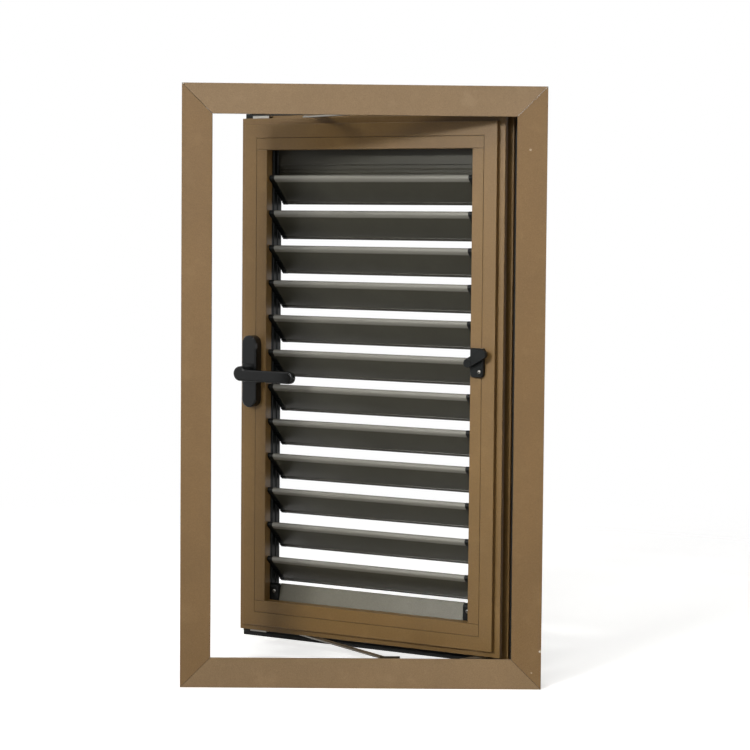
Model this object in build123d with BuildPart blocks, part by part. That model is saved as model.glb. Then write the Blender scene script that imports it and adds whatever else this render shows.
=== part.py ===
from build123d import *
import os
from math import cos, pi, radians, sin

os.makedirs("parts", exist_ok=True)

# Louvred casement window in bronze aluminium. All sizes are in millimetres.
# X runs along the wall to the right as seen from the room, Y out of the room, Z up.
# The origin is the middle of the frame's underside, the face that beds on the sill of the wall.

# Outer frame
frame_width = 600.0
frame_height = 1000.0
frame_depth = 60.0
face_width = 50.0            # flat face towards the room
tube_width = 34.0            # hollow part behind the face, the rest is a lip
frame_wall = 1.6
lip_wall = 2.0
seal_groove_width = 4.0
seal_groove_depth = 3.0
seal_groove_leg = 1.5
seal_root_fit = 0.2
seal_bulb = 0.6
frame_mitre_gap = 0.3
edge_ease = 0.5              # small chamfer along the edges that show

# Sash
sash_gap = 5.0               # daylight left round the face of the closed sash
sash_depth = 55.0
sash_band = 24.0             # outer band of the sash face
sash_wall = 1.6
sash_mitre_gap = 0.06
flange_reach = 11.0          # inner flange, laps behind the lip of the frame
flange_setback = 9.5
flange_depth = 10.0
wing_reach = 16.5            # outer wing, carries the weather seal
wing_setback = 32.0
wing_wall = 2.0
back_stop_reach = 16.0
seal_fin_reach = 20.8
seal_fin_width = 2.2
drip_reach = 28.0            # the fin under the bottom rail hangs lower and sheds the rain
opening_angle = 27.15        # how far the sash stands open
edge_shift_in = 26.6         # where the stays have carried its hinge edge
edge_shift_out = 32.3

# Beads that hold the louvre unit in the sash
bead_width = 21.0
bead_depth = 18.0
bead_wall = 1.4
bead_hook = 9.0
seam = 0.3

# Louvres
blade_count = 12
first_pivot_drop = 115.0     # below the head of the sash
last_pivot_rise = 98.5       # above the foot of the sash
blade_lap = 7.5              # shut blades lap each other by this much
blade_nose = 4.5             # radius of the rounded inner edge
blade_crown = 3.9            # height of the crowned upper face over the chord
blade_tail = 1.6             # thickness of the outer edge
nose_step = 6.0              # from the nose's centre to the step under it
nose_step_height = 0.9
tail_rib_inset = 7.0         # drip rib under the outer edge
tail_rib_width = 2.4
tail_rib_height = 1.1
blade_wall = 1.4
blade_angle = 45.0           # slope of the blades as they stand
pivot_setback = 33.0
cap_length = 10.0
cap_overhang = 0.25          # the cap stands proud of the blade all round
cap_end_gap = 0.6
pin_radius = 4.0
pin_clearance = 0.05
pin_sides = 12               # moulded pins and bores, near enough round
channel_wall = 1.8
channel_fit = 0.3
channel_groove = 1.2
channel_land = 5.0           # width of the two raised lands of the channel
channel_land_inset = 8.0

# Closing profiles over the first blade and under the last one
head_face = 40.0             # behind the sash face
head_thickness = 6.5
head_body_height = 46.0
head_web = 2.6
head_web_drop = 20.5         # the web runs this far below the body
head_rib_drops = (8.2, 14.2)
head_rib_radius = 1.6
head_rib_sink = 0.6          # centre of the ribs behind the face of the web
sill_setback = 2.0           # behind the beads
sill_height = 49.7
sill_lean = 8.0
sill_lip = 2.2
sill_depth = 16.5            # leaves the last blade room to shut
sill_shoulder = 24.0
bracket_width = 17.0
bracket_depth = 12.5
bracket_height = 29.0
bracket_crown = 6.0

# Handle on the free stile
handle_centre = 21.5         # from the free edge of the sash
handle_height = 454.7        # middle of the base above the foot of the sash
handle_base_width = 28.0
handle_base_length = 127.0
handle_base_depth = 20.0
handle_base_round = 2.0
pad_foot = 12.5              # foot of the raised pad above the middle of the base
pad_height = 1.2
pad_ease = 1.0
pad_sag = 3.0
hub_recess = 6.0
hub_clearance = 0.5
lever_drop = 2.0             # spindle below the middle of the base
lever_reach = 108.0          # spindle to tip
lever_hub_radius = 13.0
lever_tip_radius = 10.8
lever_waist = 6.4            # upper edge of the lever above the spindle, past the hub
lever_waist_round = 14.0
lever_droop = 1.4            # the tip hangs a little under the hub
lever_front = 51.0           # front of the lever from the sash face
lever_thickness = 12.0
lever_round = 4.0
lever_back_ease = 1.5
lever_neck_radius = 10.0

# Louvre knob on the hinge stile
knob_from_edge = 28.5        # axis from the hinge edge of the sash
knob_height = 494.0
knob_half_length = 15.0
knob_radius = 7.8
knob_tilt = 30.0
knob_front = 20.0
knob_disc = 1.0
knob_ease = 0.8
knob_boss_radius = 8.5
knob_boss_length = 3.2
operator_width = 24.4
operator_length = 49.0
operator_depth = 8.0
operator_offset = 1.4        # middle of the plate from the knob's axis, away from the hinge
operator_rise = 17.0         # top of the plate above the knob's axis
operator_corner = 6.5
operator_ease = 1.2

# Stays at the foot and the head
track_start = -10.0
track_end = 262.0
track_width = 20.0
track_height = 3.0
track_setback = 26.0         # middle of the track behind the room face
shoe_pivot = 52.0            # pin of the sliding shoe as the sash stands
shoe_start = 31.0
shoe_end = 65.0
shoe_width = 18.0
shoe_height = 9.4
arm_width = 11.6
arm_thickness = 2.5
arm_lift = 3.4               # from the top of the track
link_from_free_edge = 109.0  # pin of the long link in the sash
hinge_pin_inset = 20.0       # pin of the hinge arm from the hinge edge
pin_setback = 25.6           # both pins behind the sash face
stay_pin_radius = 2.5
drive_leg = 37.0             # corner drives in the groove of the sash
drive_side_leg = 30.0
drive_reach = 16.0           # under the rails
drive_side_reach = 9.0       # beside the free stile, hidden by the flange
drive_wall = 1.5
seat = 0.3                   # gap left where two pieces bear on each other

# Worked out from the sizes above
room_face = -frame_depth / 2
sash_width = frame_width - 2 * face_width - 2 * sash_gap
sash_height = frame_height - 2 * face_width - 2 * sash_gap
sash_foot = face_width + sash_gap
bead_edge = sash_band + bead_width
light_width = sash_width - 2 * bead_edge
blade_pitch = (sash_height - first_pivot_drop - last_pivot_rise) / (blade_count - 1)
blade_chord = blade_pitch + blade_lap
turn = radians(opening_angle)
hinge_edge = (sash_width / 2 - edge_shift_in, room_face + edge_shift_out)
sash_pose = Location(
    (
        hinge_edge[0] - sash_width / 2 * cos(turn),
        hinge_edge[1] + sash_width / 2 * sin(turn),
        sash_foot,
    ),
    (0, 0, -opening_angle),
)


def on_sash(plane):
    """A plane given in the sash's own frame, placed where the open sash stands."""
    return Plane(sash_pose * plane.location)


def save(piece, name):
    piece.part.label = name
    export_step(piece.part, f"parts/{name}.step")


def four_sides(width, height, face, foot):
    """Section planes for the bars of a rectangle: x runs outwards, y in from the outer edge."""
    middle = foot + height / 2
    return {
        "foot": (Plane((0, face, foot), x_dir=(0, 1, 0), z_dir=(1, 0, 0)), width),
        "head": (Plane((0, face, foot + height), x_dir=(0, 1, 0), z_dir=(-1, 0, 0)), width),
        "left": (Plane((-width / 2, face, middle), x_dir=(0, 1, 0), z_dir=(0, 0, -1)), height),
        "right": (Plane((width / 2, face, middle), x_dir=(0, 1, 0), z_dir=(0, 0, 1)), height),
    }


def mitred_bar(section, length, outline, gap, chambers=(), eased=()):
    """A bar of constant section, mitred at both ends so that four of them close a rectangle."""
    reach = -min(low for across, low in outline)
    with BuildPart() as bar:
        with BuildSketch(section) as profile:
            with BuildLine():
                Polyline(*outline, close=True)
            make_face()
            shown = [v for v in profile.vertices() if (round(v.X, 3), round(v.Y, 3)) in eased]
            if shown:
                chamfer(shown, edge_ease)
            for near, far, low, high in chambers:
                with Locations(((near + far) / 2, (low + high) / 2)):
                    Rectangle(far - near, high - low, mode=Mode.SUBTRACT)
        extrude(amount=length / 2 + max(reach, 0), both=True)
        for end in (1, -1):
            cut = Plane((0, -gap / 2, end * (length / 2 - gap / 2)), x_dir=(1, 0, 0), z_dir=(0, 1, end))
            split(bisect_by=Plane(section.location * cut.location), keep=Keep.BOTTOM)
    return bar


# Outer frame: four mitred hollow bars
groove_far = face_width - seal_groove_leg
groove_near = groove_far - seal_groove_width
lip_back = lip_wall + seal_groove_depth
frame_outline = [
    (0, 0),
    (frame_depth, 0),
    (frame_depth, tube_width),
    (lip_wall, tube_width),
    (lip_wall, groove_near - seal_groove_leg),
    (lip_back, groove_near - seal_groove_leg),
    (lip_back, groove_near),
    (lip_wall, groove_near),
    (lip_wall, groove_far),
    (lip_back, groove_far),
    (lip_back, face_width),
    (0, face_width),
]
frame_web = frame_depth / 2
frame_chambers = [
    (frame_wall, frame_web - frame_wall / 2, frame_wall, tube_width - frame_wall),
    (frame_web + frame_wall / 2, frame_depth - frame_wall, frame_wall, tube_width - frame_wall),
]
frame_sides = four_sides(frame_width, frame_height, room_face, 0)
frame_names = {
    "foot": "frame_sill",
    "head": "frame_head",
    "left": "frame_left_jamb",
    "right": "frame_right_jamb",
}
for side, (section, length) in frame_sides.items():
    bar = mitred_bar(
        section, length, frame_outline, frame_mitre_gap, frame_chambers, ((0, 0), (0, face_width))
    )
    save(bar, frame_names[side])

# Rubber seal in the groove behind the lip, four lengths meeting at the corners
bulb_far = flange_setback - 0.5
seal_outline = [
    (lip_wall + seal_root_fit, groove_near + seal_root_fit),
    (lip_back, groove_near + seal_root_fit),
    (lip_back + seal_bulb, groove_near - seal_bulb),
    (bulb_far - seal_bulb, groove_near - seal_bulb / 2),
    (bulb_far, groove_near + seal_groove_width / 2),
    (bulb_far - seal_bulb, groove_far + seal_bulb / 2),
    (lip_back + seal_bulb, groove_far + seal_bulb),
    (lip_back, groove_far - seal_root_fit),
    (lip_wall + seal_root_fit, groove_far - seal_root_fit),
]
with BuildPart() as frame_seal:
    for section, length in frame_sides.values():
        add(mitred_bar(section, length, seal_outline, frame_mitre_gap).part)
save(frame_seal, "frame_seal")

# Sash: four mitred hollow bars with a flange, a wing and a stop for the louvre unit
flange_back = flange_setback + flange_depth
wing_back = wing_setback + wing_wall
wing_leg = wing_back + seal_groove_depth
fin_groove_far = -wing_reach + seal_groove_leg
fin_groove_near = fin_groove_far + seal_groove_width
sash_outline = [
    (0, 0),
    (flange_setback, 0),
    (flange_setback, -flange_reach),
    (flange_back, -flange_reach),
    (flange_back, 0),
    (wing_setback, 0),
    (wing_setback, -wing_reach),
    (wing_leg, -wing_reach),
    (wing_leg, fin_groove_far),
    (wing_back, fin_groove_far),
    (wing_back, fin_groove_near),
    (wing_leg, fin_groove_near),
    (wing_leg, fin_groove_near + seal_groove_leg),
    (wing_back, fin_groove_near + seal_groove_leg),
    (wing_back, 0),
    (sash_depth, 0),
    (sash_depth, sash_band + back_stop_reach),
    (sash_depth - sash_wall, sash_band + back_stop_reach),
    (sash_depth - sash_wall, sash_band),
    (0, sash_band),
]
sash_web = flange_back
sash_chambers = [
    (sash_wall, sash_web - sash_wall / 2, sash_wall, sash_band - sash_wall),
    (sash_web + sash_wall / 2, sash_depth - sash_wall, sash_wall, sash_band - sash_wall),
    (flange_setback + sash_wall, flange_back - sash_wall, sash_wall - flange_reach, -sash_wall),
]
sash_shown = (
    (0, 0),
    (0, sash_band),
    (flange_setback, -flange_reach),
    (flange_back, -flange_reach),
)
sash_sides = {
    side: (on_sash(section), length)
    for side, (section, length) in four_sides(sash_width, sash_height, 0, 0).items()
}
sash_names = {
    "foot": "sash_bottom_rail",
    "head": "sash_top_rail",
    "left": "sash_free_stile",
    "right": "sash_hinge_stile",
}
for side, (section, length) in sash_sides.items():
    bar = mitred_bar(section, length, sash_outline, sash_mitre_gap, sash_chambers, sash_shown)
    save(bar, sash_names[side])

# Weather seal on the wing, with a fin that reaches past its edge
fin_outline = [
    (wing_back + seal_root_fit, fin_groove_far + seal_root_fit),
    (wing_leg + seal_root_fit, fin_groove_far + seal_root_fit),
    (wing_leg + seal_root_fit, -seal_fin_reach + seal_fin_width / 2),
    (wing_leg - seal_bulb, -seal_fin_reach),
    (wing_leg + seal_fin_width, -seal_fin_reach + seal_bulb),
    (wing_leg + seal_fin_width, fin_groove_near + seal_bulb),
    (wing_leg + seal_root_fit, fin_groove_near + seal_bulb),
    (wing_leg + seal_root_fit, fin_groove_near - seal_root_fit),
    (wing_back + seal_root_fit, fin_groove_near - seal_root_fit),
]
with BuildPart() as sash_seal:
    for section, length in sash_sides.values():
        add(mitred_bar(section, length, fin_outline, sash_mitre_gap).part)
    drip_middle = (seal_fin_reach - seal_bulb + drip_reach) / 2
    with BuildSketch(on_sash(Plane.YZ.offset(-sash_width / 2 - seal_fin_reach))):
        with Locations((wing_leg + seal_fin_width / 2, -drip_middle)):
            Rectangle(seal_fin_width, drip_reach - seal_fin_reach + seal_bulb)
    extrude(amount=sash_width + seal_fin_reach)
save(sash_seal, "sash_seal")

# Beads: the level ones run through, the upright ones stand between them
bead_outline = [
    (0, sash_band + seam),
    (0, bead_edge),
    (bead_depth, bead_edge),
    (bead_depth, bead_edge - bead_hook),
    (bead_depth - bead_wall, bead_edge - bead_hook),
    (bead_depth - bead_wall, bead_edge - bead_wall),
    (bead_wall, bead_edge - bead_wall),
    (bead_wall, sash_band + seam),
]
bead_lengths = {
    "foot": sash_width - 2 * (sash_band + seam),
    "left": sash_height - 2 * (bead_edge + seam),
}
for name, sides in (("level_beads", ("foot", "head")), ("upright_beads", ("left", "right"))):
    with BuildPart() as beads:
        for side in sides:
            with BuildSketch(sash_sides[side][0]) as profile:
                with BuildLine():
                    Polyline(*bead_outline, close=True)
                make_face()
                chamfer(profile.vertices().group_by(Axis.X)[0], edge_ease)
            extrude(amount=bead_lengths[sides[0]] / 2, both=True)
    save(beads, name)

# Pivot channels: black uprights between the rails, bored for the pins of the blades
first_pivot = sash_height - first_pivot_drop
pivot_heights = [first_pivot - blade_pitch * row for row in range(blade_count)]
channel_near = bead_depth + channel_fit
channel_far = sash_depth - sash_wall - channel_fit
channel_back = sash_band + channel_fit
channel_front = bead_edge - seam
channel_floor = channel_front - channel_groove
near_land = channel_near + channel_land_inset
far_land = channel_far - channel_land_inset
channel_outline = [
    (channel_near, channel_back),
    (channel_near, channel_floor),
    (near_land - channel_groove, channel_floor),
    (near_land, channel_front),
    (near_land + channel_land, channel_front),
    (near_land + channel_land + channel_groove, channel_floor),
    (far_land - channel_land - channel_groove, channel_floor),
    (far_land - channel_land, channel_front),
    (far_land, channel_front),
    (far_land + channel_groove, channel_floor),
    (channel_far, channel_floor),
    (channel_far, channel_back),
]
channel_hollow = channel_wall + channel_groove
with BuildPart() as pivot_channels:
    for side, inward in (("left", 1), ("right", -1)):
        section = sash_sides[side][0]
        with BuildSketch(section):
            with BuildLine():
                Polyline(*channel_outline, close=True)
            make_face()
            with Locations(
                ((channel_near + channel_far) / 2, (channel_back + channel_front - channel_groove) / 2)
            ):
                Rectangle(
                    channel_far - channel_near - 2 * channel_wall,
                    channel_front - channel_back - channel_hollow - channel_wall,
                    mode=Mode.SUBTRACT,
                )
        extrude(amount=sash_height / 2 - sash_band - channel_fit, both=True)
        bore_face = on_sash(Plane.YZ.offset(-inward * (sash_width / 2 - channel_front)))
        with BuildSketch(bore_face):
            with Locations(*[(pivot_setback, height) for height in pivot_heights]):
                RegularPolygon((pin_radius + pin_clearance) / cos(pi / pin_sides), pin_sides)
        extrude(amount=-inward * (channel_hollow + seat), mode=Mode.SUBTRACT)
save(pivot_channels, "pivot_channels")

# Fixed closing profile above the first blade: a hollow box with a ribbed web below it
closure_half = sash_width / 2 - channel_front - seat
head_seat = sash_height - sash_band - seat
head_back = head_face + head_thickness
head_foot = head_seat - head_body_height
with BuildPart() as head_closure:
    with BuildSketch(on_sash(Plane.YZ)):
        with Locations(((head_face + head_back) / 2, (head_seat + head_foot) / 2)):
            Rectangle(head_thickness, head_body_height)
            Rectangle(head_thickness - 2 * blade_wall, head_body_height - 2 * blade_wall, mode=Mode.SUBTRACT)
        with Locations((head_back - head_web / 2, head_foot - head_web_drop / 2)):
            Rectangle(head_web, head_web_drop)
        for drop in head_rib_drops:
            with Locations((head_back - head_web + head_rib_sink, head_foot - drop)):
                Circle(head_rib_radius)
    extrude(amount=closure_half, both=True)
save(head_closure, "head_closure")

# Fixed closing profile under the last blade: a hollow kerb that leans out to a thin lip
bracket_start = light_width / 2 - cap_end_gap - bracket_width
sill_half = bracket_start - seat
sill_seat = sash_band + seat
sill_front = bead_depth + sill_setback
sill_top = sill_seat + sill_height
sill_outline = [
    (sill_front, sill_seat),
    (sill_front, bead_edge - seam),
    (sill_front + sill_lean, sill_top - sill_lip / 2),
    (sill_front + sill_lean + sill_lip / 2, sill_top),
    (sill_front + sill_lean + sill_lip, sill_top - sill_lip / 2),
    (sill_front + sill_lean + sill_lip, sill_top - sill_lip),
    (sill_front + sill_depth, sill_seat + sill_shoulder),
    (sill_front + sill_depth, sill_seat),
]
with BuildPart() as sill_closure:
    with BuildSketch(on_sash(Plane.YZ)):
        with BuildLine():
            Polyline(*sill_outline, close=True)
        make_face()
        offset(amount=-blade_wall, kind=Kind.INTERSECTION, mode=Mode.SUBTRACT)
    extrude(amount=sill_half, both=True)
save(sill_closure, "sill_closure")

# Louvre blades: hollow, with a rounded nose at the room side and a thin tail at the outer side
blade_ahead = blade_chord / 2
blade_half = light_width / 2 - cap_end_gap - cap_length
nose_centre = blade_ahead - blade_nose


def blade_points(grow=0.0):
    """Outline of a blade round its pivot: x along the chord to the tail, y up and out."""
    round_edge = blade_nose + grow
    skin = blade_tail / 2 + grow
    tail = blade_ahead + grow
    rib = tail - tail_rib_inset
    nose_arc = [(-nose_centre, round_edge), (-nose_centre - round_edge, 0), (-nose_centre, -round_edge)]
    underside = [
        (-nose_centre, -round_edge),
        (-nose_centre + nose_step, -round_edge),
        (-nose_centre + nose_step + nose_step_height, nose_step_height - round_edge),
        (rib, -skin),
        (rib + tail_rib_width / 4, -skin - tail_rib_height),
        (rib + tail_rib_width * 3 / 4, -skin - tail_rib_height),
        (rib + tail_rib_width, -skin),
        (tail, -skin),
        (tail, skin),
    ]
    crown = [(tail, skin), ((tail - nose_centre) / 2, blade_crown + grow), (-nose_centre, round_edge)]
    return nose_arc, underside, crown


blade_hollow = [
    (-nose_centre - blade_nose + blade_wall, blade_nose / 2 - blade_wall / 4),
    (-nose_centre - blade_nose + blade_wall, -blade_nose / 2 + blade_wall / 4),
    (-nose_centre, blade_wall - blade_nose),
    (-nose_centre + nose_step, nose_step_height + blade_wall - blade_nose),
    (blade_ahead - 2 * tail_rib_inset, -blade_tail / 4),
    (blade_ahead - 2 * tail_rib_inset, blade_tail / 2),
    (-nose_centre, blade_nose - blade_wall),
]
for row, height in enumerate(pivot_heights, start=1):
    slope = Plane(
        (0, pivot_setback, height),
        x_dir=(0, cos(radians(blade_angle)), -sin(radians(blade_angle))),
        z_dir=(1, 0, 0),
    )
    with BuildPart() as blade:
        with BuildSketch(on_sash(slope)):
            nose_arc, underside, crown = blade_points()
            with BuildLine():
                ThreePointArc(*nose_arc)
                Polyline(*underside)
                ThreePointArc(*crown)
            make_face()
            with BuildLine():
                Polyline(*blade_hollow, close=True)
            make_face(mode=Mode.SUBTRACT)
        extrude(amount=blade_half, both=True)
    save(blade, f"louvre_blade_{row:02d}")
    with BuildPart() as caps:
        for end in (1, -1):
            inner = Plane(slope.location * Plane.XY.offset(end * (blade_half + pin_clearance)).location)
            with BuildSketch(on_sash(inner)):
                nose_arc, underside, crown = blade_points(cap_overhang)
                with BuildLine():
                    ThreePointArc(*nose_arc)
                    Polyline(*underside)
                    ThreePointArc(*crown)
                make_face()
            extrude(amount=end * (cap_length - pin_clearance))
            with BuildSketch(on_sash(inner)):
                RegularPolygon(pin_radius, pin_sides)
            extrude(amount=end * (cap_length + cap_end_gap + channel_hollow))
    save(caps, f"blade_caps_{row:02d}")

# Window handle: long rounded base with a raised pad over the lever's hub
handle_x = handle_centre - sash_width / 2
lever_height = handle_height - lever_drop
out_of_sash = Axis(sash_pose.position, on_sash(Plane.XZ).z_dir)
pad_middle = handle_height + pad_foot
with BuildPart() as handle_base:
    with BuildSketch(on_sash(Plane.XZ)):
        with Locations((handle_x, handle_height)):
            SlotOverall(handle_base_length, handle_base_width, rotation=90)
    extrude(amount=handle_base_depth)
    chamfer(handle_base.faces().sort_by(out_of_sash)[-1].edges(), handle_base_round)
    with BuildSketch(on_sash(Plane.XZ.offset(handle_base_depth - handle_base_round))):
        with Locations((handle_x, handle_height)):
            SlotOverall(
                handle_base_length - 2 * pad_ease, handle_base_width - 2 * pad_ease, rotation=90
            )
        with BuildLine():
            ThreePointArc(
                (handle_x - handle_base_width, pad_middle + pad_sag),
                (handle_x, pad_middle),
                (handle_x + handle_base_width, pad_middle + pad_sag),
            )
            Polyline(
                (handle_x + handle_base_width, pad_middle + pad_sag),
                (handle_x + handle_base_width, handle_height - handle_base_length),
                (handle_x - handle_base_width, handle_height - handle_base_length),
                (handle_x - handle_base_width, pad_middle + pad_sag),
            )
        make_face(mode=Mode.SUBTRACT)
    extrude(amount=handle_base_round + pad_height)
    chamfer(handle_base.faces().sort_by(out_of_sash)[-1].edges(), pad_ease)
    with BuildSketch(on_sash(Plane.XZ.offset(handle_base_depth))):
        with Locations((handle_x, lever_height)):
            Circle(lever_neck_radius + hub_clearance)
    extrude(amount=-hub_recess, mode=Mode.SUBTRACT)
save(handle_base, "handle_base")

tip_x = handle_x + lever_reach - lever_tip_radius
tip_height = lever_height - lever_hub_radius + lever_tip_radius - lever_droop
lever_back = lever_front - lever_thickness
neck_foot = handle_base_depth - hub_recess + seat
with BuildPart() as handle_lever:
    with BuildSketch(on_sash(Plane.XZ.offset(lever_back))) as lever_face:
        with BuildLine():
            Polyline(
                (handle_x, lever_height - lever_hub_radius),
                (tip_x, tip_height - lever_tip_radius),
                (tip_x, tip_height + lever_tip_radius),
                (handle_x, lever_height + lever_waist),
                close=True,
            )
        make_face()
        with Locations((handle_x, lever_height)):
            Circle(lever_hub_radius)
        with Locations((tip_x, tip_height)):
            Circle(lever_tip_radius)
        hub_top = Vector(handle_x, lever_height + lever_hub_radius)
        fillet(lever_face.vertices().sort_by_distance(hub_top)[0], lever_waist_round)
    extrude(amount=lever_thickness)
    fillet(handle_lever.faces().sort_by(out_of_sash)[-1].edges(), lever_round)
    chamfer(handle_lever.faces().sort_by(out_of_sash)[0].edges(), lever_back_ease)
    with BuildSketch(on_sash(Plane.XZ.offset(neck_foot))):
        with Locations((handle_x, lever_height)):
            Circle(lever_neck_radius)
    extrude(amount=lever_back - neck_foot + seat)
save(handle_lever, "handle_lever")

# Louvre operator: screwed plate and a two-ended knob
knob_x = sash_width / 2 - knob_from_edge
plate_middle = (knob_x - operator_offset, knob_height + operator_rise - operator_length / 2)
with BuildPart() as operator_base:
    with BuildSketch(on_sash(Plane.XZ.offset(pin_clearance))) as plate:
        with Locations(plate_middle):
            Rectangle(operator_width, operator_length)
        fillet(plate.vertices().group_by(Axis.Y)[0], operator_corner)
    extrude(amount=operator_depth)
    chamfer(operator_base.faces().sort_by(out_of_sash)[-1].edges(), operator_ease)
save(operator_base, "operator_base")

knob_start = operator_depth + seat
knob_ends = [
    (
        knob_x + side * knob_half_length * cos(radians(knob_tilt)),
        knob_height + side * knob_half_length * sin(radians(knob_tilt)),
    )
    for side in (1, -1)
]
with BuildPart() as louvre_knob:
    with BuildSketch(on_sash(Plane.XZ.offset(knob_start))):
        with Locations((knob_x, knob_height)):
            Circle(knob_boss_radius)
    extrude(amount=knob_boss_length + seat)
    with BuildSketch(on_sash(Plane.XZ.offset(knob_start + knob_boss_length))):
        with Locations((knob_x, knob_height)):
            SlotCenterToCenter(2 * knob_half_length, 2 * knob_radius, rotation=knob_tilt)
    extrude(amount=knob_front - knob_disc - knob_start - knob_boss_length)
    chamfer(louvre_knob.faces().sort_by(out_of_sash)[-1].edges(), knob_ease)
    with BuildSketch(on_sash(Plane.XZ.offset(knob_front - 2 * knob_disc))):
        with Locations(*knob_ends):
            Circle(knob_radius - knob_ease)
    extrude(amount=2 * knob_disc)
save(louvre_knob, "louvre_knob")

# Corner drives of the lock, bent round both free corners in the groove behind the flange
drive_near = flange_back + seat
drive_far = wing_setback - seat
free_edge = -sash_width / 2
with BuildPart() as corner_drives:
    for corner, up in ((0, 1), (sash_height, -1)):
        web = [
            (free_edge, corner - up * drive_reach),
            (free_edge + drive_leg, corner - up * drive_reach),
            (free_edge + drive_leg, corner - up * seat),
            (free_edge - seat, corner - up * seat),
            (free_edge - seat, corner + up * drive_side_leg),
            (free_edge - drive_side_reach, corner + up * drive_side_leg),
            (free_edge - drive_side_reach, corner - up * drive_side_reach),
            (free_edge, corner - up * drive_side_reach),
        ]
        plate_x = free_edge + drive_leg / 2
        plate_z = corner - up * (drive_reach - drive_wall / 2)
        with BuildSketch(on_sash(Plane.XZ.offset(-drive_near))):
            with BuildLine():
                Polyline(*web, close=True)
            make_face()
        extrude(amount=-drive_wall)
        with BuildSketch(on_sash(Plane.XZ.offset(-drive_near))):
            with Locations((plate_x, plate_z)):
                Rectangle(drive_leg, drive_wall)
        extrude(amount=drive_near - drive_far)
save(corner_drives, "corner_drives")

# End brackets of the sill closure, between it and the pivot channels
bracket_front = bead_depth + seat
bracket_foot = bead_edge + seat
bracket_shoulder = bracket_foot + bracket_height - bracket_crown
with BuildPart() as closure_brackets:
    for end in (1, -1):
        with BuildSketch(on_sash(Plane.YZ.offset(end * bracket_start))):
            with BuildLine():
                Polyline(
                    (bracket_front, bracket_shoulder),
                    (bracket_front, bracket_foot),
                    (bracket_front + bracket_depth, bracket_foot),
                    (bracket_front + bracket_depth, bracket_shoulder),
                )
                ThreePointArc(
                    (bracket_front + bracket_depth, bracket_shoulder),
                    (bracket_front + bracket_depth / 2, bracket_foot + bracket_height),
                    (bracket_front, bracket_shoulder),
                )
            make_face()
        extrude(amount=end * bracket_width)
save(closure_brackets, "closure_brackets")

# Tracks of the stays, screwed to the rebate of the frame at the foot and the head
track_middle = room_face + track_setback
track_top = tube_width + seat + track_height
mid_height = Plane.XY.offset(frame_height / 2)
with BuildPart() as stay_tracks:
    with BuildSketch(Plane.XY.offset(tube_width + seat)):
        with Locations(((track_start + track_end) / 2, track_middle)):
            Rectangle(track_end - track_start, track_width)
    extrude(amount=track_height)
    mirror(about=mid_height)
save(stay_tracks, "stay_tracks")

# The pins of the open sash, and the point of the track that the hinge arm swings about
pin_behind = room_face + pin_setback
link_pin = sash_pose * Location((link_from_free_edge - sash_width / 2, pin_setback, 0))
hinge_pin = sash_pose * Location((sash_width / 2 - hinge_pin_inset, pin_setback, 0))
shut_x = sash_width / 2 - hinge_pin_inset
open_x = hinge_pin.position.X
open_y = hinge_pin.position.Y - track_middle
shut_y = pin_behind - track_middle
hinge_pivot = (shut_x**2 + shut_y**2 - open_x**2 - open_y**2) / (2 * (shut_x - open_x))

arm_foot = track_top + arm_lift
arm_top = arm_foot + arm_thickness
for name, start, pin in (
    ("stay_links", (shoe_pivot, track_middle), link_pin),
    ("hinge_arms", (hinge_pivot, track_middle), hinge_pin),
):
    with BuildPart() as arms:
        with BuildSketch(Plane.XY.offset(arm_foot)):
            with Locations(start, (pin.position.X, pin.position.Y)):
                Circle(arm_width / 2)
            make_hull()
        extrude(amount=arm_thickness)
        with BuildSketch(Plane.XY.offset(arm_foot)):
            with Locations((pin.position.X, pin.position.Y)):
                RegularPolygon(stay_pin_radius, pin_sides)
        extrude(amount=sash_foot - seat - arm_foot)
        with BuildSketch(Plane.XY.offset(track_top + seat)):
            with Locations(start):
                RegularPolygon(stay_pin_radius, pin_sides)
        extrude(amount=arm_foot - track_top - seat)
        mirror(about=mid_height)
    save(arms, name)

# Sliding shoes of the stays, slotted for the end of the link
with BuildPart() as stay_shoes:
    with BuildSketch(Plane.XY.offset(track_top + seat)):
        with Locations(((shoe_start + shoe_end) / 2, track_middle)):
            Rectangle(shoe_end - shoe_start, shoe_width)
    extrude(amount=shoe_height)
    with BuildSketch(Plane.XY.offset(arm_foot - seat)):
        with Locations((shoe_pivot, track_middle), (link_pin.position.X, link_pin.position.Y)):
            Circle(arm_width / 2 + seat)
        make_hull()
    extrude(amount=arm_thickness + 2 * seat, mode=Mode.SUBTRACT)
    with BuildSketch(Plane.XY.offset(track_top)):
        with Locations((shoe_pivot, track_middle)):
            RegularPolygon((stay_pin_radius + pin_clearance) / cos(pi / pin_sides), pin_sides)
    extrude(amount=arm_foot - track_top, mode=Mode.SUBTRACT)
    mirror(about=mid_height)
save(stay_shoes, "stay_shoes")
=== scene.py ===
from math import cos, radians, sin, tau

import bmesh
import bpy
from mathutils import Matrix, Vector


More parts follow.
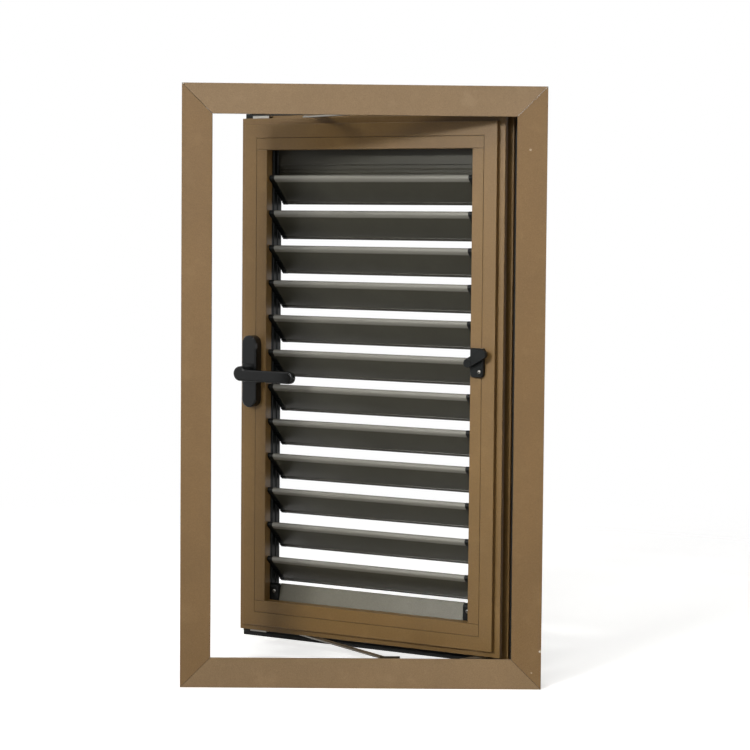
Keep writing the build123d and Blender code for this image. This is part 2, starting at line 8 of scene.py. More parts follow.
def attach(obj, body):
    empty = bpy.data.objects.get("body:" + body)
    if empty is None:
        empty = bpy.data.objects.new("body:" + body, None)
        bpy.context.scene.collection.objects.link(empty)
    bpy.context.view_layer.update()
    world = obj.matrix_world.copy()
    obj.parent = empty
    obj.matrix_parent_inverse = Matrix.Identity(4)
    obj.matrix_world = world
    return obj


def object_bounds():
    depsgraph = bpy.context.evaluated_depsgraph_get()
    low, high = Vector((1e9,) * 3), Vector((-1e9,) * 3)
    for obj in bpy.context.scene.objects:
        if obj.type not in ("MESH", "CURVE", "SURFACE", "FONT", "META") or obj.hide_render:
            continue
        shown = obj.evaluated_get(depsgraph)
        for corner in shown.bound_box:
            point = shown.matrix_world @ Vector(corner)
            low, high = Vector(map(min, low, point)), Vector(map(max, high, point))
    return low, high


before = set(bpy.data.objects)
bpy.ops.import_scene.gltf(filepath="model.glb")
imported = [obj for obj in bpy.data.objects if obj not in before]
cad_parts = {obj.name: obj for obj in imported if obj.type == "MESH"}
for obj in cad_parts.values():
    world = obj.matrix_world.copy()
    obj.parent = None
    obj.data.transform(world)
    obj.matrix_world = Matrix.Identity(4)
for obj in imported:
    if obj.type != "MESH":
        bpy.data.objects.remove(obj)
cad_low, cad_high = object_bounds()

# Outer frame.
# Four mitred bars of extruded aluminium in a bronze powder coat. The coat is a baked polyester film:
# satin, faintly pebbled like fine orange peel, with a fleck of darker and lighter grains.
MM = 0.001
half_width = cad_high[0]
frame_height = cad_high[2]
room_face = cad_low[1]

# The places of a Mix node's colour sockets: its two inputs and its output.
COLOUR_A, COLOUR_B, COLOUR_OUT = 6, 7, 2


def linear(hex_colour, alpha=1.0):
    """Turns an sRGB hex colour into the linear one that the shaders take."""
    channels = [int(hex_colour[i : i + 2], 16) / 255 for i in (1, 3, 5)]
    return [c / 12.92 if c <= 0.04045 else ((c + 0.055) / 1.055) ** 2.4 for c in channels] + [alpha]


def add_node(material, kind, settings=None, links=None):
    """Adds one node with its settings and links. A number picks a socket by its place."""
    node = material.node_tree.nodes.new(kind)
    for name, value in (settings or {}).items():
        if isinstance(name, int) or name in node.inputs:
            node.inputs[name].default_value = value
        else:
            setattr(node, name, value)
    for name, socket in (links or {}).items():
        material.node_tree.links.new(socket, node.inputs[name])
    return node


def empty_material(name):
    """A new material without nodes."""
    material = bpy.data.materials.new(name)
    material.use_nodes = True
    material.node_tree.nodes.clear()
    return material


def powder_coat(name, colour, dark_grain, pale_grain, roughness, gloss_level=0.4):
    """Polyester powder coat on aluminium: satin film, orange peel, flecks, faint handling marks."""
    coat = empty_material(name)
    grain_size = 1.6 * MM       # real grains are 0.2 mm, drawn as coarse as the render shows
    peel_size = 2.2 * MM
    cloud_size = 140 * MM
    mark_size = 34 * MM
    place = add_node(coat, "ShaderNodeTexCoord").outputs["Object"]
    grain = add_node(
        coat, "ShaderNodeTexNoise", {"Scale": 1 / grain_size, "Detail": 3.0, "Roughness": 0.7},
        {"Vector": place},
    )
    cloud = add_node(
        coat, "ShaderNodeTexNoise", {"Scale": 1 / cloud_size, "Detail": 4.0, "Roughness": 0.55},
        {"Vector": place},
    )
    marks = add_node(
        coat, "ShaderNodeTexNoise", {"Scale": 1 / mark_size, "Detail": 6.0, "Roughness": 0.62},
        {"Vector": place},
    )
    peel = add_node(
        coat, "ShaderNodeTexNoise", {"Scale": 1 / peel_size, "Detail": 1.5, "Roughness": 0.4},
        {"Vector": place},
    )
    dark = add_node(
        coat, "ShaderNodeMapRange", {"From Min": 0.34, "From Max": 0.52, "To Min": 0.55, "To Max": 0.0},
        {"Value": grain.outputs["Fac"]},
    )
    with_dark = add_node(
        coat, "ShaderNodeMix",
        {"data_type": "RGBA", COLOUR_A: linear(colour), COLOUR_B: linear(dark_grain)},
        {"Factor": dark.outputs["Result"]},
    )
    pale = add_node(
        coat, "ShaderNodeMapRange", {"From Min": 0.56, "From Max": 0.72, "To Min": 0.0, "To Max": 0.55},
        {"Value": grain.outputs["Fac"]},
    )
    with_pale = add_node(
        coat, "ShaderNodeMix", {"data_type": "RGBA", COLOUR_B: linear(pale_grain)},
        {"Factor": pale.outputs["Result"], COLOUR_A: with_dark.outputs[COLOUR_OUT]},
    )
    haze = add_node(
        coat, "ShaderNodeMapRange", {"From Min": 0.55, "From Max": 0.78, "To Min": 0.0, "To Max": 0.35},
        {"Value": marks.outputs["Fac"]},
    )
    hazed = add_node(
        coat, "ShaderNodeMix", {"data_type": "RGBA", COLOUR_B: linear(pale_grain)},
        {"Factor": haze.outputs["Result"], COLOUR_A: with_pale.outputs[COLOUR_OUT]},
    )
    cloud_level = add_node(
        coat, "ShaderNodeMapRange", {"From Min": 0.3, "From Max": 0.7, "To Min": 0.93, "To Max": 1.07},
        {"Value": cloud.outputs["Fac"]},
    )
    clouded = add_node(
        coat, "ShaderNodeHueSaturation",
        links={"Color": hazed.outputs[COLOUR_OUT], "Value": cloud_level.outputs["Result"]},
    )
    gloss = add_node(
        coat, "ShaderNodeMapRange",
        {"From Min": 0.35, "From Max": 0.7, "To Min": 0.93 * roughness, "To Max": 1.1 * roughness},
        {"Value": marks.outputs["Fac"]},
    )
    pebble = add_node(
        coat, "ShaderNodeBump", {"Strength": 0.22, "Distance": 0.05 * MM}, {"Height": peel.outputs["Fac"]}
    )
    shader = add_node(
        coat, "ShaderNodeBsdfPrincipled", {"IOR": 1.5, "Specular IOR Level": gloss_level},
        {
            "Base Color": clouded.outputs["Color"],
            "Roughness": gloss.outputs["Result"],
            "Normal": pebble.outputs["Normal"],
        },
    )
    add_node(coat, "ShaderNodeOutputMaterial", links={"Surface": shader.outputs["BSDF"]})
    return coat


def add_to_coat(coat, amount, colour):
    """Lays one more colour over a coat, where amount is 1."""
    shader = next(node for node in coat.node_tree.nodes if node.type == "BSDF_PRINCIPLED")
    under = shader.inputs["Base Color"].links[0].from_socket
    over = add_node(
        coat, "ShaderNodeMix", {"data_type": "RGBA", COLOUR_B: linear(colour)},
        {"Factor": amount, COLOUR_A: under},
    )
    coat.node_tree.links.new(over.outputs[COLOUR_OUT], shader.inputs["Base Color"])


def add_nick(coat, place, size, colour, strength):
    """A knock or rub in the coat: a ragged spot of another colour round one place."""
    here = add_node(coat, "ShaderNodeTexCoord").outputs["Object"]
    away = add_node(coat, "ShaderNodeVectorMath", {"operation": "DISTANCE", 1: place}, {0: here})
    ragged = add_node(coat, "ShaderNodeTexNoise", {"Scale": 1.6 / size, "Detail": 3.0}, {"Vector": here})
    reach = add_node(
        coat, "ShaderNodeMath", {"operation": "MULTIPLY", 1: 2 * size}, {0: ragged.outputs["Fac"]}
    )
    edge = add_node(
        coat, "ShaderNodeMath", {"operation": "SUBTRACT"},
        {0: reach.outputs["Value"], 1: away.outputs["Value"]},
    )
    spot = add_node(
        coat, "ShaderNodeMapRange", {"From Min": 0.0, "From Max": 0.5 * size, "To Max": strength},
        {"Value": edge.outputs["Value"]},
    )
    add_to_coat(coat, spot.outputs["Result"], colour)


def finish_nodes(material, *nodes):
    """Gives CAD nodes their finish."""
    for node in nodes:
        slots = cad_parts[node].data.materials
        slots.clear()
        slots.append(material)


upright_coat = powder_coat("bronze_powder_coat", "#705633", "#5D4527", "#836945", roughness=0.4)
# Painted sheen: the head and sill get a lighter, greyer copy of the uprights' coat, for the sheen the light
# lays on the level bars.
level_coat_painted_sheen = powder_coat(
    "bronze_powder_coat_level_bars_painted_sheen", "#7B6446", "#675136", "#8E7658", roughness=0.36
)
mitre_dirt, mitre_dirt_strength = 0.6 * MM, 0.55
# Nicks and rubs in the room face: mm across from the middle, mm over the foot, size, colour, strength.
frame_nicks = (
    (298, 64, 2.4 * MM, "#CFC8BA", 0.9),
    (284, 28, 1.6 * MM, "#B9AC96", 0.6),
    (272, 896, 2.2 * MM, "#B7A890", 0.6),
    (-298.5, 998.5, 1.6 * MM, "#D8D3C8", 0.8),
    (170, 975, 17 * MM, "#A38D70", 0.1),
)
for bar_coat in (upright_coat, level_coat_painted_sheen):
    # Dirt in the four mitre joints: a dark hairline where both sides are equally far in.
    centred = add_node(
        bar_coat, "ShaderNodeMapping", {"Location": (0, 0, -frame_height / 2)},
        {"Vector": add_node(bar_coat, "ShaderNodeTexCoord").outputs["Object"]},
    )
    quarter = add_node(
        bar_coat, "ShaderNodeVectorMath", {"operation": "ABSOLUTE"}, {"Vector": centred.outputs["Vector"]}
    )
    apart = add_node(bar_coat, "ShaderNodeSeparateXYZ", links={"Vector": quarter.outputs["Vector"]})
    offset = add_node(
        bar_coat, "ShaderNodeMath", {"operation": "SUBTRACT"},
        {0: apart.outputs["Z"], 1: apart.outputs["X"]},
    )
    on_mitre = add_node(
        bar_coat, "ShaderNodeMath",
        {"operation": "COMPARE", 1: frame_height / 2 - half_width, 2: mitre_dirt},
        {0: offset.outputs["Value"]},
    )
    faint = add_node(
        bar_coat, "ShaderNodeMath", {"operation": "MULTIPLY", 1: mitre_dirt_strength},
        {0: on_mitre.outputs["Value"]},
    )
    add_to_coat(bar_coat, faint.outputs["Value"], "#2A1E10")
    for across, height, size, colour, strength in frame_nicks:
        add_nick(bar_coat, (across * MM, room_face, height * MM), size, colour, strength)
finish_nodes(level_coat_painted_sheen, "frame_head", "frame_sill")
finish_nodes(upright_coat, "frame_left_jamb", "frame_right_jamb")

# Joint sealant.
# Small-joint sealant in the frame's mitres, a grey-brown polyurethane squeezed in before the corners were
# drawn together. It fills the hairline and keeps daylight out of it.
sealant = powder_coat(
    "grey_brown_joint_sealant", "#33291D", "#2A2117", "#3F3325", roughness=0.7, gloss_level=0.2
)
bar_depth, bar_width, face_width, lip = 60 * MM, 34 * MM, 50 * MM, 2 * MM
inset, sealant_thickness = 0.08 * MM, 0.2 * MM
# The bar's section without its chambers, as depth behind the room face and distance in from the outside.
bar_section = [
    (inset, inset), (bar_depth - inset, inset), (bar_depth - inset, bar_width - inset),
    (lip - inset, bar_width - inset), (lip - inset, face_width - inset), (inset, face_width - inset),
]


def add_piece(name, shape, material, body):
    """Makes one piece of a finished shape, and lets it ride on its body."""
    bmesh.ops.recalc_face_normals(shape, faces=shape.faces)
    mesh = bpy.data.meshes.new(name)
    shape.to_mesh(mesh)
    shape.free()
    mesh.materials.append(material)
    piece = bpy.data.objects.new(name, mesh)
    bpy.context.scene.collection.objects.link(piece)
    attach(piece, body)
    return piece


plugs = bmesh.new()
for side in (-1, 1):
    for level, rise in ((0, 1), (frame_height, -1)):
        square = Vector((side, 0, rise)).normalized()
        corners = [
            Vector((side * (half_width - inwards), room_face + depth, level + rise * inwards))
            for depth, inwards in bar_section
        ]
        rim = [plugs.verts.new(corner - square * sealant_thickness / 2) for corner in corners]
        plug = plugs.faces.new(rim)
        plug.normal_update()
        grown = bmesh.ops.extrude_face_region(plugs, geom=[plug])["geom"]
        bmesh.ops.translate(
            plugs, vec=square * sealant_thickness,
            verts=[part for part in grown if isinstance(part, bmesh.types.BMVert)],
        )
add_piece("mitre_sealant", plugs, sealant, "window")

# Seals.
# Extruded EPDM rubber, pushed into the grooves of the frame and of the sash's outer wing. New rubber is
# near black and matt, with a faint grey bloom.


def seal_rubber():
    """Extruded EPDM: a matt black skin with a bloom in it."""
    rubber = empty_material("black_epdm_rubber")
    bloom_size = 24 * MM
    skin_size = 1.2 * MM        # coarser than the real skin, so that it shows
    place = add_node(rubber, "ShaderNodeTexCoord").outputs["Object"]
    bloom = add_node(
        rubber, "ShaderNodeTexNoise", {"Scale": 1 / bloom_size, "Detail": 5.0}, {"Vector": place}
    )
    tone = add_node(
        rubber, "ShaderNodeMix",
        {"data_type": "RGBA", COLOUR_A: linear("#0A0B0A"), COLOUR_B: linear("#121311")},
        {"Factor": bloom.outputs["Fac"]},
    )
    fine = add_node(
        rubber, "ShaderNodeTexNoise", {"Scale": 1 / skin_size, "Detail": 2.0}, {"Vector": place}
    )
    skin = add_node(
        rubber, "ShaderNodeBump", {"Strength": 0.15, "Distance": 0.05 * MM}, {"Height": fine.outputs["Fac"]}
    )
    shader = add_node(
        rubber, "ShaderNodeBsdfPrincipled", {"Roughness": 0.6, "IOR": 1.5, "Specular IOR Level": 0.25},
        {"Base Color": tone.outputs[COLOUR_OUT], "Normal": skin.outputs["Normal"]},
    )
    add_node(rubber, "ShaderNodeOutputMaterial", links={"Surface": shader.outputs["BSDF"]})
    return rubber


finish_nodes(seal_rubber(), "frame_seal", "sash_seal")

# Sash and beads.
# The same extruded aluminium and the same bronze coat. The beads are clipped in from the room, so a
# hairline joint runs round the face. The sash stands open, hung at its right edge.
sash_coat = powder_coat("bronze_powder_coat_sash", "#6D532C", "#5A4322", "#80653C", roughness=0.4)
sash_turn = radians(27.15)
sash_width, sash_height, sash_foot = 490 * MM, 890 * MM, 55 * MM
hinge_x, hinge_y = 218.4 * MM, 2.3 * MM
free_corner = Vector(
    (hinge_x - sash_width * cos(sash_turn), hinge_y + sash_width * sin(sash_turn), sash_foot)
)
# From the sash's own places to the scene's: along from its free edge, behind its face, over its foot.
sash_stand = Matrix.Translation(free_corner) @ Matrix.Rotation(-sash_turn, 4, "Z")
sash_middle = sash_stand @ Vector((sash_width / 2, 0, sash_height / 2))
# The mapping that turns a pattern with the sash and centres it on the sash's face.
on_sash = {
    "Rotation": (0, 0, sash_turn),
    "Location": -(Matrix.Rotation(sash_turn, 3, "Z") @ sash_middle),
}
# Dirt in the joints: a ring round the beads, and the lines where upright beads meet level ones.
ring_in, level_in = 24 * MM, 45 * MM
seam_dirt, seam_strength = 0.5 * MM, 0.5
on_face = add_node(
    sash_coat, "ShaderNodeMapping", on_sash,
    {"Vector": add_node(sash_coat, "ShaderNodeTexCoord").outputs["Object"]},
)
either_way = add_node(
    sash_coat, "ShaderNodeVectorMath", {"operation": "ABSOLUTE"}, {"Vector": on_face.outputs["Vector"]}
)
out = add_node(sash_coat, "ShaderNodeSeparateXYZ", links={"Vector": either_way.outputs["Vector"]})
past_side = add_node(
    sash_coat, "ShaderNodeMath", {"operation": "SUBTRACT", 1: sash_width / 2 - ring_in},
    {0: out.outputs["X"]},
)
past_end = add_node(
    sash_coat, "ShaderNodeMath", {"operation": "SUBTRACT", 1: sash_height / 2 - ring_in},
    {0: out.outputs["Z"]},
)
past_ring = add_node(
    sash_coat, "ShaderNodeMath", {"operation": "MAXIMUM"},
    {0: past_side.outputs["Value"], 1: past_end.outputs["Value"]},
)
on_ring = add_node(
    sash_coat, "ShaderNodeMath", {"operation": "COMPARE", 1: 0.0, 2: seam_dirt},
    {0: past_ring.outputs["Value"]},
)
on_line = add_node(
    sash_coat, "ShaderNodeMath", {"operation": "COMPARE", 1: sash_height / 2 - level_in, 2: seam_dirt},
    {0: out.outputs["Z"]},
)
on_upright = add_node(
    sash_coat, "ShaderNodeMath",
    {"operation": "COMPARE", 1: sash_width / 2 - (ring_in + level_in) / 2, 2: (level_in - ring_in) / 2},
    {0: out.outputs["X"]},
)
on_joint = add_node(
    sash_coat, "ShaderNodeMath", {"operation": "MULTIPLY"},
    {0: on_line.outputs["Value"], 1: on_upright.outputs["Value"]},
)
on_seam = add_node(
    sash_coat, "ShaderNodeMath", {"operation": "MAXIMUM"},
    {0: on_ring.outputs["Value"], 1: on_joint.outputs["Value"]},
)
seams = add_node(
    sash_coat, "ShaderNodeMath", {"operation": "MULTIPLY", 1: seam_strength},
    {0: on_seam.outputs["Value"]},
)
add_to_coat(sash_coat, seams.outputs["Value"], "#2C2012")
finish_nodes(
    sash_coat,
    "sash_top_rail", "sash_bottom_rail", "sash_free_stile", "sash_hinge_stile",
    "level_beads", "upright_beads",
)

# Louvre blades and closing profiles.
# Roll formed and extruded aluminium in a darker, greyer satin coat than the frame. The blades get a darker
# copy of the closures' coat as painted shade on their faces, and a paler painted highlight on their rounded
# noses.
rows = [f"{row:02d}" for row in range(1, 13)]
nose_front, nose_back, nose_highlight_strength = 11 * MM, 15 * MM, 0.8
# Painted shade: the blades' coat is darker than the sill closure's, for the shade on their down-turned
# faces.
blade_coat_painted_light = powder_coat(
    "olive_grey_powder_coat_blades_painted_shade_and_highlight", "#444238", "#3F3D34", "#4C4A3F", roughness=0.24, gloss_level=0.6
)
blade_place = add_node(
    blade_coat_painted_light, "ShaderNodeMapping", on_sash,
    {"Vector": add_node(blade_coat_painted_light, "ShaderNodeTexCoord").outputs["Object"]},
)
blade_depth = add_node(
    blade_coat_painted_light, "ShaderNodeSeparateXYZ", links={"Vector": blade_place.outputs["Vector"]}
).outputs["Y"]
painted_nose_highlight = add_node(
    blade_coat_painted_light, "ShaderNodeMapRange",
    {"From Min": nose_front, "From Max": nose_back, "To Min": nose_highlight_strength, "To Max": 0.0},
    {"Value": blade_depth},
)
# Painted highlight: a paler colour on the front of each blade's nose, where the room's light falls on it.
add_to_coat(blade_coat_painted_light, painted_nose_highlight.outputs["Result"], "#85837A")
# Painted shade: the head closure's coat is a darker copy of the sill closure's, for the shade under the
# frame's head.
head_coat_painted_shade = powder_coat(
    "olive_grey_powder_coat_head_painted_shade", "#3F3D34", "#3A382F", "#46443A", roughness=0.4, gloss_level=0.25
)
closure_coat = powder_coat("olive_grey_powder_coat", "#605D50", "#504D42", "#747063", roughness=0.36)
finish_nodes(blade_coat_painted_light, *[f"louvre_blade_{row}" for row in rows])
finish_nodes(head_coat_painted_shade, "head_closure")
finish_nodes(closure_coat, "sill_closure")

# Pivot channels, blade caps, brackets and stay shoes.
# Injection moulded black nylon: near black, slightly waxy, with a fine spark-eroded texture.


def moulded_nylon():
    """Black nylon with the mould's texture, a little duller and greyer where it was handled."""
    nylon = empty_material("black_moulded_nylon")
    spark_size = 0.9 * MM       # coarser than the real texture, so that it shows
    handling_size = 18 * MM
    place = add_node(nylon, "ShaderNodeTexCoord").outputs["Object"]
    spark = add_node(
        nylon, "ShaderNodeTexNoise", {"Scale": 1 / spark_size, "Detail": 2.0}, {"Vector": place}
    )
    handling = add_node(
        nylon, "ShaderNodeTexNoise", {"Scale": 1 / handling_size, "Detail": 4.0}, {"Vector": place}
    )
    tone = add_node(
        nylon, "ShaderNodeMix",
        {"data_type": "RGBA", COLOUR_A: linear("#070908"), COLOUR_B: linear("#0E1110")},
        {"Factor": handling.outputs["Fac"]},
    )
    gloss = add_node(
        nylon, "ShaderNodeMapRange", {"From Min": 0.3, "From Max": 0.7, "To Min": 0.3, "To Max": 0.44},
        {"Value": handling.outputs["Fac"]},
    )
    texture = add_node(
        nylon, "ShaderNodeBump", {"Strength": 0.2, "Distance": 0.04 * MM}, {"Height": spark.outputs["Fac"]}
    )
    shader = add_node(
        nylon, "ShaderNodeBsdfPrincipled", {"IOR": 1.53, "Specular IOR Level": 0.16},
        {
            "Base Color": tone.outputs[COLOUR_OUT],
            "Roughness": gloss.outputs["Result"],
            "Normal": texture.outputs["Normal"],
        },
    )
    add_node(nylon, "ShaderNodeOutputMaterial", links={"Surface": shader.outputs["BSDF"]})
    return nylon


black_nylon = moulded_nylon()
finish_nodes(
    black_nylon, *[f"blade_caps_{row}" for row in rows], "pivot_channels", "closure_brackets", "stay_shoes"
)

# Stays, hinge arms and corner drives.
# Stamped stainless steel strip, rolled, with the grain along the strip and a dull grey shine.


def rolled_steel(name):
    """Rolled strip: a fine grain, drawn out along the strip, in tone and in gloss."""
    steel = empty_material(name)
    grain_size = 1.2 * MM       # real rolling lines are finer, drawn as coarse as the render shows
    grain_stretch = 0.06
    place = add_node(steel, "ShaderNodeTexCoord").outputs["Object"]
    drawn_out = add_node(steel, "ShaderNodeMapping", {"Scale": (grain_stretch, 1.0, 1.0)}, {"Vector": place})
    grain = add_node(
        steel, "ShaderNodeTexNoise", {"Scale": 1 / grain_size, "Detail": 4.0},
        {"Vector": drawn_out.outputs["Vector"]},
    )
    tone = add_node(
        steel, "ShaderNodeMix",
        {"data_type": "RGBA", COLOUR_A: linear("#86837D"), COLOUR_B: linear("#A4A19A")},
        {"Factor": grain.outputs["Fac"]},
    )
    gloss = add_node(
        steel, "ShaderNodeMapRange", {"From Min": 0.3, "From Max": 0.7, "To Min": 0.28, "To Max": 0.42},
        {"Value": grain.outputs["Fac"]},
    )
    shader = add_node(
        steel, "ShaderNodeBsdfPrincipled", {"Metallic": 1.0},
        {"Base Color": tone.outputs[COLOUR_OUT], "Roughness": gloss.outputs["Result"]},
    )
    add_node(steel, "ShaderNodeOutputMaterial", links={"Surface": shader.outputs["BSDF"]})
    return steel


finish_nodes(
    rolled_steel("rolled_stainless_steel"), "stay_tracks", "stay_links", "hinge_arms", "corner_drives"
)

# Window handle.
# Die cast base and lever in a black satin powder coat, finer and smoother than the frame's.
black_satin = powder_coat(
    "black_satin_powder_coat", "#080A0A", "#050606", "#0E1110", roughness=0.2, gloss_level=0.32
)
finish_nodes(black_satin, "handle_base", "handle_lever")

# Louvre operator.
# Moulded black nylon plate and knob, held by one steel screw.
finish_nodes(black_nylon, "operator_base", "louvre_knob")

# Screws and rivets.
# Zinc plated pan head screws hold the operator and the end brackets, countersunk ones the stay tracks. The
# stays turn on riveted pins, whose heads are flat domes.
plated = rolled_steel("zinc_plated_steel")


def add_head(shape, place, radius, height):
    """Adds the domed head of a screw or rivet: its face along +Z of place."""
    dome = [(0, height), (0.62 * radius, 0.86 * height), (0.92 * radius, 0.45 * height), (radius, 0)]
    points = [shape.verts.new((across, 0, rise)) for across, rise in dome]
    lines = [shape.edges.new(pair) for pair in zip(points, points[1:])]
    bmesh.ops.spin(
        shape, geom=points + lines, cent=(0, 0, 0), axis=(0, 0, 1), angle=tau, steps=24, use_merge=True
    )
    fresh = [vert for vert in shape.verts if not vert.tag]
    bmesh.ops.remove_doubles(shape, verts=fresh, dist=0.001 * MM)
    bmesh.ops.holes_fill(shape, edges=[edge for edge in shape.edges if edge.is_boundary], sides=0)
    fresh = [vert for vert in shape.verts if not vert.tag]
    bmesh.ops.transform(shape, matrix=place, verts=fresh)
    for vert in fresh:
        vert.tag = True


def add_cross(shape, place, rise, radius, depth):
    """Adds the cross recess of a screw, as two thin bars let into its head at rise; their black is painted
    shade.
    """
    bar_size = (1.15 * radius, 0.28 * radius, depth)
    cross_turn = 0.5
    middle = place @ Matrix.Translation((0, 0, rise))
    for quarter_turn in (0, tau / 4):
        bar = bmesh.ops.create_cube(shape, size=1)["verts"]
        bmesh.ops.scale(shape, vec=bar_size, verts=bar)
        bmesh.ops.rotate(shape, matrix=Matrix.Rotation(quarter_turn + cross_turn, 3, "Z"), verts=bar)
        bmesh.ops.transform(shape, matrix=middle, verts=bar)


def facing_room(place):
    """The matrix that stands a screw at a place of the open sash, its head to the room."""
    return sash_stand @ Matrix.Translation(place) @ Matrix.Rotation(tau / 4, 4, "X")


heads = bmesh.new()
crosses = bmesh.new()
# Pan head screws of the operator, on its collar, and of the two end brackets.
pan_radius, pan_height = 3.3 * MM, 1.5 * MM
operator_face, collar_height = -8 * MM, 0.9 * MM
operator_screw = Vector((465.5 * MM, operator_face - collar_height, 472 * MM))
bracket_screws = [Vector((along * MM, 18.3 * MM, 61 * MM)) for along in (54, 436)]
for spot in (operator_screw, *bracket_screws):
    add_head(heads, facing_room(spot), pan_radius, pan_height)
    add_cross(crosses, facing_room(spot), 0.8 * pan_height, pan_radius, 0.5 * pan_height)
# Countersunk screws of the stay tracks, lower and upper.
flat_radius, flat_height = 3.4 * MM, 0.5 * MM
flat_recess_radius, flat_recess_rise = 3 * MM, 0.3 * MM
track_middle, track_top = -4 * MM, 37.3 * MM
for along in (8, 112, 184, 250):
    for turn, level in ((0, track_top), (tau / 2, frame_height - track_top)):
        place = Matrix.Translation((along * MM, track_middle, level)) @ Matrix.Rotation(turn, 4, "X")
        add_head(heads, place, flat_radius, flat_height)
        add_cross(crosses, place, flat_recess_rise, flat_recess_radius, flat_height)
# Rivets: under the lower stay's link and hinge arm, over its shoe, and mirrored on the upper stay.
rivet_radius, rivet_height = 4 * MM, 1.1 * MM
arm_underside, link_top = 40.7 * MM, 43.2 * MM
link_pin = sash_stand @ Vector((109 * MM, 25.6 * MM, 0))
hinge_pin = sash_stand @ Vector((470 * MM, 25.6 * MM, 0))
shoe_pin = Vector((161.2 * MM, track_middle, 0))
for pin, level, turn in (
    (link_pin, arm_underside, tau / 2), (hinge_pin, arm_underside, tau / 2), (shoe_pin, link_top, 0)
):
    for rivet_level, rivet_turn in ((level, turn), (frame_height - level, turn + tau / 2)):
        place = Matrix.Translation((pin.x, pin.y, rivet_level)) @ Matrix.Rotation(rivet_turn, 4, "X")
        add_head(heads, place, rivet_radius, rivet_height)
add_piece("screw_and_rivet_heads", heads, plated, "window")
# The cross recesses are black nylon as painted shade in the plated heads.
add_piece("screw_recesses_painted_shade", crosses, black_nylon, "window")
collar = bmesh.new()
ring = bmesh.ops.create_cone(
    collar, cap_ends=True, segments=32, radius1=5.4 * MM, radius2=5 * MM, depth=collar_height
)["verts"]
collar_middle = operator_screw + Vector((0, collar_height / 2, 0))
bmesh.ops.transform(collar, matrix=facing_room(collar_middle), verts=ring)
add_piece("operator_screw_collar", collar, black_nylon, "window")

# Corner guides.
# Black nylon guides that the lock's steel strip bends through at the sash's two free corners, pushed into
# the groove behind the flange. Each is one block beside the corner and one past its end.
guides = bmesh.new()
guide_near, guide_far = 19.6 * MM, 31.4 * MM
guide_side, guide_gap, guide_reach = 9.4 * MM, 0.35 * MM, 4 * MM
guide_drop, guide_rise = 16.4 * MM, 6 * MM
guide_blocks = ((-guide_drop, -guide_gap, guide_reach), (-guide_gap, guide_rise, -guide_gap))
for end, up in ((0, 1), (sash_height, -1)):
    for low, high, inner in guide_blocks:
        block = bmesh.ops.create_cube(guides, size=1)["verts"]
        bmesh.ops.scale(
            guides, vec=(inner + guide_side, guide_far - guide_near, high - low), verts=block
        )
        middle = Vector(
            ((inner - guide_side) / 2, (guide_near + guide_far) / 2, end + up * (low + high) / 2)
        )
        bmesh.ops.transform(guides, matrix=sash_stand @ Matrix.Translation(middle), verts=block)
bmesh.ops.bevel(
    guides, geom=guides.edges[:], offset=0.5 * MM, segments=1, profile=0.5, affect="EDGES", material=-1
)
add_piece("corner_guides", guides, black_nylon, "window")

# Hinge side keepers.
# Small stamped steel keepers screwed in the groove of the hinge stile, one near each end.
keepers = bmesh.new()
keeper_size = (6.4 * MM, 7 * MM, 11 * MM)
keeper_along, keeper_depth = 493.6 * MM, 24.2 * MM
for height in (16 * MM, 867 * MM):
    plate = bmesh.ops.create_cube(keepers, size=1)["verts"]
    bmesh.ops.scale(keepers, vec=keeper_size, verts=plate)
    place = sash_stand @ Matrix.Translation((keeper_along, keeper_depth, height))
    bmesh.ops.transform(keepers, matrix=place, verts=plate)
bmesh.ops.bevel(
    keepers, geom=keepers.edges[:], offset=0.8 * MM, segments=2, profile=0.5, affect="EDGES", material=-1
)
add_piece("hinge_side_keepers", keepers, plated, "window")

# Floor, background and light.
# A plain pale floor that fades into white, and soft studio lamps. Lengths here are in metres.


def pale_floor():
    """A round floor that is matt and a little bright in the middle, and clear at its rim."""
    floor_radius, fade_start, fade_end = 4.0, 0.7, 2.4
    floor_glow = 0.55
    plane = bmesh.new()
    bmesh.ops.create_circle(plane, cap_ends=True, segments=96, radius=floor_radius)
    mesh = bpy.data.meshes.new("floor")
    plane.to_mesh(mesh)
    plane.free()
    floor = bpy.data.objects.new("floor", mesh)
    bpy.context.scene.collection.objects.link(floor)
    paint = empty_material("pale_floor_paint")
    place = add_node(paint, "ShaderNodeTexCoord").outputs["Object"]
    distance = add_node(paint, "ShaderNodeVectorMath", {"operation": "LENGTH"}, {"Vector": place})
    fade = add_node(
        paint, "ShaderNodeMapRange",
        {
            "From Min": fade_start, "From Max": fade_end, "To Min": 0.0, "To Max": 1.0,
            "interpolation_type": "SMOOTHSTEP",
        },
        {"Value": distance.outputs["Value"]},
    )
    path = add_node(paint, "ShaderNodeLightPath")
    seen = add_node(
        paint, "ShaderNodeMath", {"operation": "MAXIMUM"},
        {0: path.outputs["Is Camera Ray"], 1: path.outputs["Is Transmission Ray"]},
    )
    lift = add_node(
        paint, "ShaderNodeMapRange", {"To Min": 0.0, "To Max": floor_glow}, {"Value": seen.outputs["Value"]}
    )
    bright = add_node(
        paint, "ShaderNodeEmission", {"Color": (1, 1, 1, 1)}, {"Strength": lift.outputs["Result"]}
    )
    dull = add_node(paint, "ShaderNodeBsdfDiffuse", {"Color": linear("#E8E7E4")})
    matt = add_node(
        paint, "ShaderNodeAddShader", links={0: dull.outputs["BSDF"], 1: bright.outputs["Emission"]}
    )
    clear = add_node(paint, "ShaderNodeBsdfTransparent")
    mixed = add_node(
        paint, "ShaderNodeMixShader",
        links={"Fac": fade.outputs["Result"], 1: matt.outputs["Shader"], 2: clear.outputs["BSDF"]},
    )
    add_node(paint, "ShaderNodeOutputMaterial", links={"Surface": mixed.outputs["Shader"]})
    mesh.materials.append(paint)
    return floor


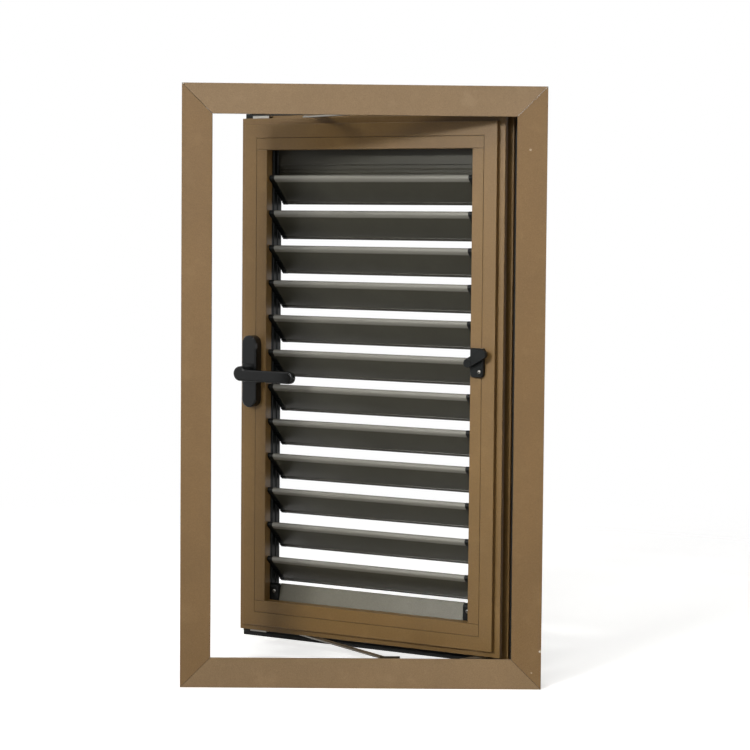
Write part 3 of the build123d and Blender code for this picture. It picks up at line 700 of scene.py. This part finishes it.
def white_background(ambient):
    """White to the camera and in reflections, and a plain grey level of light on the object."""
    world = bpy.data.worlds.new("studio")
    bpy.context.scene.world = world
    world.use_nodes = True
    world.node_tree.nodes.clear()
    path = add_node(world, "ShaderNodeLightPath")
    seen = add_node(
        world, "ShaderNodeMath", {"operation": "MAXIMUM"},
        {0: path.outputs["Is Camera Ray"], 1: path.outputs["Is Transmission Ray"]},
    )
    mirrored = add_node(
        world, "ShaderNodeMath", {"operation": "MAXIMUM"},
        {0: seen.outputs["Value"], 1: path.outputs["Is Glossy Ray"]},
    )
    level = add_node(
        world, "ShaderNodeMapRange", {"To Min": ambient, "To Max": 1.0}, {"Value": mirrored.outputs["Value"]}
    )
    light = add_node(
        world, "ShaderNodeBackground", {"Color": (1, 1, 1, 1)}, {"Strength": level.outputs["Result"]}
    )
    add_node(world, "ShaderNodeOutputWorld", links={"Surface": light.outputs["Background"]})


def soft_lamp(name, place, aim, width, height, power, spread=180):
    """A rectangular lamp that looks at its aim. Its spread is in degrees."""
    lamp = bpy.data.lights.new(name, "AREA")
    lamp.shape = "RECTANGLE"
    lamp.size = width
    lamp.size_y = height
    lamp.energy = power
    lamp.spread = radians(spread)
    holder = bpy.data.objects.new(name, lamp)
    holder.location = place
    holder.rotation_euler = (Vector(aim) - Vector(place)).to_track_quat("-Z", "Y").to_euler()
    bpy.context.scene.collection.objects.link(holder)


pale_floor()
white_background(ambient=0.28)
soft_lamp(
    "key_lamp", place=(-2.5, -3.8, 2.1), aim=(0.55, 0, 0.48), width=1.4, height=0.45, power=11.2, spread=40
)
soft_lamp("top_lamp", place=(-0.5, -1.8, 3.3), aim=(0, 0, 0.5), width=1.4, height=1.0, power=40)
soft_lamp("fill_lamp", place=(0.9, -3.6, 1.6), aim=(0.2, 0, 0.7), width=1.2, height=1.2, power=9)
soft_lamp("back_lamp", place=(-1.6, 3.4, 2.4), aim=(0, 0, 0.5), width=1.6, height=1.2, power=30)

# Camera.
# Where the photograph's perspective puts it, in front of the window and a little above its middle.
camera_place = (0.07416, -3.25, 0.77253)
yaw, pitch, roll = radians(0.863), radians(2.877), radians(-0.5775)
frame_px = 750
focal_px = 1956.2
centre_px = (437.92, 322.54)
camera_data = bpy.data.cameras.new("camera")
camera = bpy.data.objects.new("camera", camera_data)
bpy.context.scene.collection.objects.link(camera)
bpy.context.scene.camera = camera
forward = Vector((sin(yaw) * cos(pitch), cos(yaw) * cos(pitch), -sin(pitch)))
level_right = Vector((cos(yaw), -sin(yaw), 0))
level_up = level_right.cross(forward)
right = level_right * cos(roll) - level_up * sin(roll)
up = level_right * sin(roll) + level_up * cos(roll)
camera_turn = Matrix((right, up, -forward)).transposed().to_4x4()
camera.matrix_world = Matrix.Translation(camera_place) @ camera_turn
camera_data.lens = camera_data.sensor_width * focal_px / frame_px
camera_data.shift_x = (frame_px / 2 - centre_px[0]) / frame_px
camera_data.shift_y = (centre_px[1] - frame_px / 2) / frame_px
bpy.context.scene.view_settings.view_transform = "Standard"
